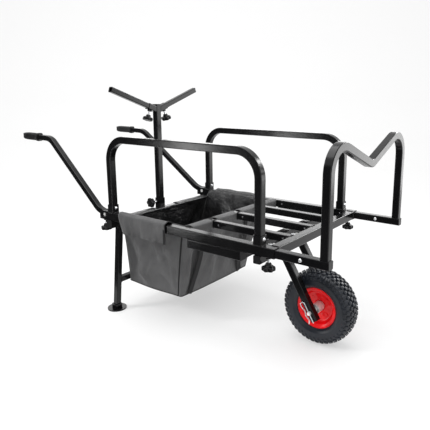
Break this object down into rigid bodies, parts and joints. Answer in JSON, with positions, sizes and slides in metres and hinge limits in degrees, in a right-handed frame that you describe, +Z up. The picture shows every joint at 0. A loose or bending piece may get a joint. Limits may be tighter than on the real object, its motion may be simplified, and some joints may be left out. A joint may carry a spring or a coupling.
{
  "type": "one-wheel gear barrow",
  "caption": "One-wheel folding-handle gear barrow with a tube deck, side hoops, sliding front bar, mast with V rest and a fabric basket between rear legs.",
  "frame": {"origin": "on the ground under the middle of the cart's length and width", "axes": "+X forward towards the wheel, +Y to the left of a person pushing it, +Z up"},
  "size_m": [1.5003, 0.5906, 0.8664],
  "materials": {
    "black_paint": "gloss black powder coat on steel tube",
    "red_paint": "gloss red paint on pressed steel",
    "tyre_rubber": "matt black rubber",
    "grip_rubber": "matt black rubber sleeve",
    "knob_plastic": "moulded black plastic",
    "cap_plastic": "black plastic plugs",
    "chrome": "bright plated",
    "zinc_steel": "zinc plated steel",
    "basket_fabric": "dark grey coated woven fabric",
    "webbing": "black webbing"
  },
  "bodies": {
    "frame": {"left_rail": "black_paint", "right_rail": "black_paint", "front_cross_tube": "black_paint", "middle_cross_tube": "black_paint", "rear_cross_tube": "black_paint", "inner_rails": "black_paint", "lower_side_tubes": "black_paint", "fork_cross_tube": "black_paint", "front_lower_tube": "black_paint", "fork_pins": "zinc_steel", "fork_clips": "chrome", "left_fork_arm": "black_paint", "right_fork_arm": "black_paint", "axle": "zinc_steel", "axle_clip": "chrome", "axle_spacers": "zinc_steel", "left_leg": "black_paint", "right_leg": "black_paint", "leg_brace": "black_paint", "feet": "black_paint", "frame_end_caps": "cap_plastic", "frame_rivets": "chrome", "side_bar_sockets": "black_paint", "side_bar_screws": "chrome", "left_hinge_bracket": "black_paint", "right_hinge_bracket": "black_paint", "hinge_pins": "zinc_steel", "mast_socket": "black_paint", "bag": "basket_fabric", "bag_straps": "webbing"},
    "wheel": {"tyre": "tyre_rubber", "inner_tube": "tyre_rubber", "left_rim_half": "red_paint", "right_rim_half": "red_paint", "rim_bolts": "zinc_steel", "hub": "zinc_steel", "wheel_bearings": "zinc_steel", "valve_stem": "tyre_rubber"},
    "front_bar": {"front_bar": "black_paint", "front_bar_tubes": "black_paint", "front_bar_caps": "cap_plastic", "front_bar_bolts": "chrome"},
    "left_front_knob": {"left_front_knob": "knob_plastic"},
    "right_front_knob": {"right_front_knob": "knob_plastic"},
    "left_side_bar": {"left_side_bar": "black_paint"},
    "right_side_bar": {"right_side_bar": "black_paint"},
    "left_handle": {"left_handle": "black_paint", "left_grip": "grip_rubber"},
    "right_handle": {"right_handle": "black_paint", "right_grip": "grip_rubber"},
    "left_handle_knob": {"left_handle_knob": "knob_plastic"},
    "right_handle_knob": {"right_handle_knob": "knob_plastic"},
    "mast": {"mast": "black_paint", "mast_cap": "cap_plastic", "rest_sockets": "black_paint"},
    "mast_knob": {"mast_knob": "knob_plastic"},
    "left_rest_arm": {"left_rest_arm": "black_paint"},
    "right_rest_arm": {"right_rest_arm": "black_paint"},
    "left_rest_knob": {"left_rest_knob": "knob_plastic"},
    "right_rest_knob": {"right_rest_knob": "knob_plastic"}
  },
  "joints": [
    {"name": "wheel_spin", "type": "hinge", "parent": "frame", "child": "wheel", "pos_m": [0.584, 0, 0.13], "axis": [0, 1, 0], "continuous": true},
    {"name": "front_bar_slide", "type": "slide", "parent": "frame", "child": "front_bar", "axis": [1, 0, 0], "range_m": [-0.07, 0.1]},
    {"name": "mast_lift", "type": "slide", "parent": "frame", "child": "mast", "axis": [0, 0, 1], "range_m": [0, 0.05]},
    {"name": "mast_knob_turn", "type": "hinge", "parent": "frame", "child": "mast_knob", "pos_m": [-0.184, -0.03, 0.396], "axis": [0, 1, 0], "continuous": true},
    {"name": "left_front_knob_turn", "type": "hinge", "parent": "frame", "child": "left_front_knob", "pos_m": [0.551, 0.276, 0.36], "axis": [0, 0, 1], "continuous": true},
    {"name": "left_side_bar_lift", "type": "slide", "parent": "frame", "child": "left_side_bar", "axis": [0, 0, 1], "range_m": [0, 0.05]},
    {"name": "left_handle_fold", "type": "hinge", "parent": "frame", "child": "left_handle", "pos_m": [-0.179, 0.276, 0.396], "axis": [0, 1, 0], "range_deg": [0, 50]},
    {"name": "left_handle_knob_turn", "type": "hinge", "parent": "frame", "child": "left_handle_knob", "pos_m": [-0.191, 0.276, 0.36], "axis": [0, 0, 1], "continuous": true},
    {"name": "left_rest_arm_slide", "type": "slide", "parent": "mast", "child": "left_rest_arm", "axis": [0, 0.9423, 0.3348], "range_m": [0, 0.03]},
    {"name": "left_rest_knob_turn", "type": "hinge", "parent": "mast", "child": "left_rest_knob", "pos_m": [-0.184, 0.03487, 0.78839], "axis": [0, 0.3348, -0.9423], "continuous": true},
    {"name": "right_front_knob_turn", "type": "hinge", "parent": "frame", "child": "right_front_knob", "pos_m": [0.551, -0.276, 0.36], "axis": [0, 0, 1], "continuous": true},
    {"name": "right_side_bar_lift", "type": "slide", "parent": "frame", "child": "right_side_bar", "axis": [0, 0, 1], "range_m": [0, 0.05]},
    {"name": "right_handle_fold", "type": "hinge", "parent": "frame", "child": "right_handle", "pos_m": [-0.179, -0.276, 0.396], "axis": [0, 1, 0], "range_deg": [0, 50]},
    {"name": "right_handle_knob_turn", "type": "hinge", "parent": "frame", "child": "right_handle_knob", "pos_m": [-0.191, -0.276, 0.36], "axis": [0, 0, 1], "continuous": true},
    {"name": "right_rest_arm_slide", "type": "slide", "parent": "mast", "child": "right_rest_arm", "axis": [0, -0.9423, 0.3348], "range_m": [0, 0.03]},
    {"name": "right_rest_knob_turn", "type": "hinge", "parent": "mast", "child": "right_rest_knob", "pos_m": [-0.184, -0.03487, 0.78839], "axis": [0, -0.3348, -0.9423], "continuous": true}
  ]
}
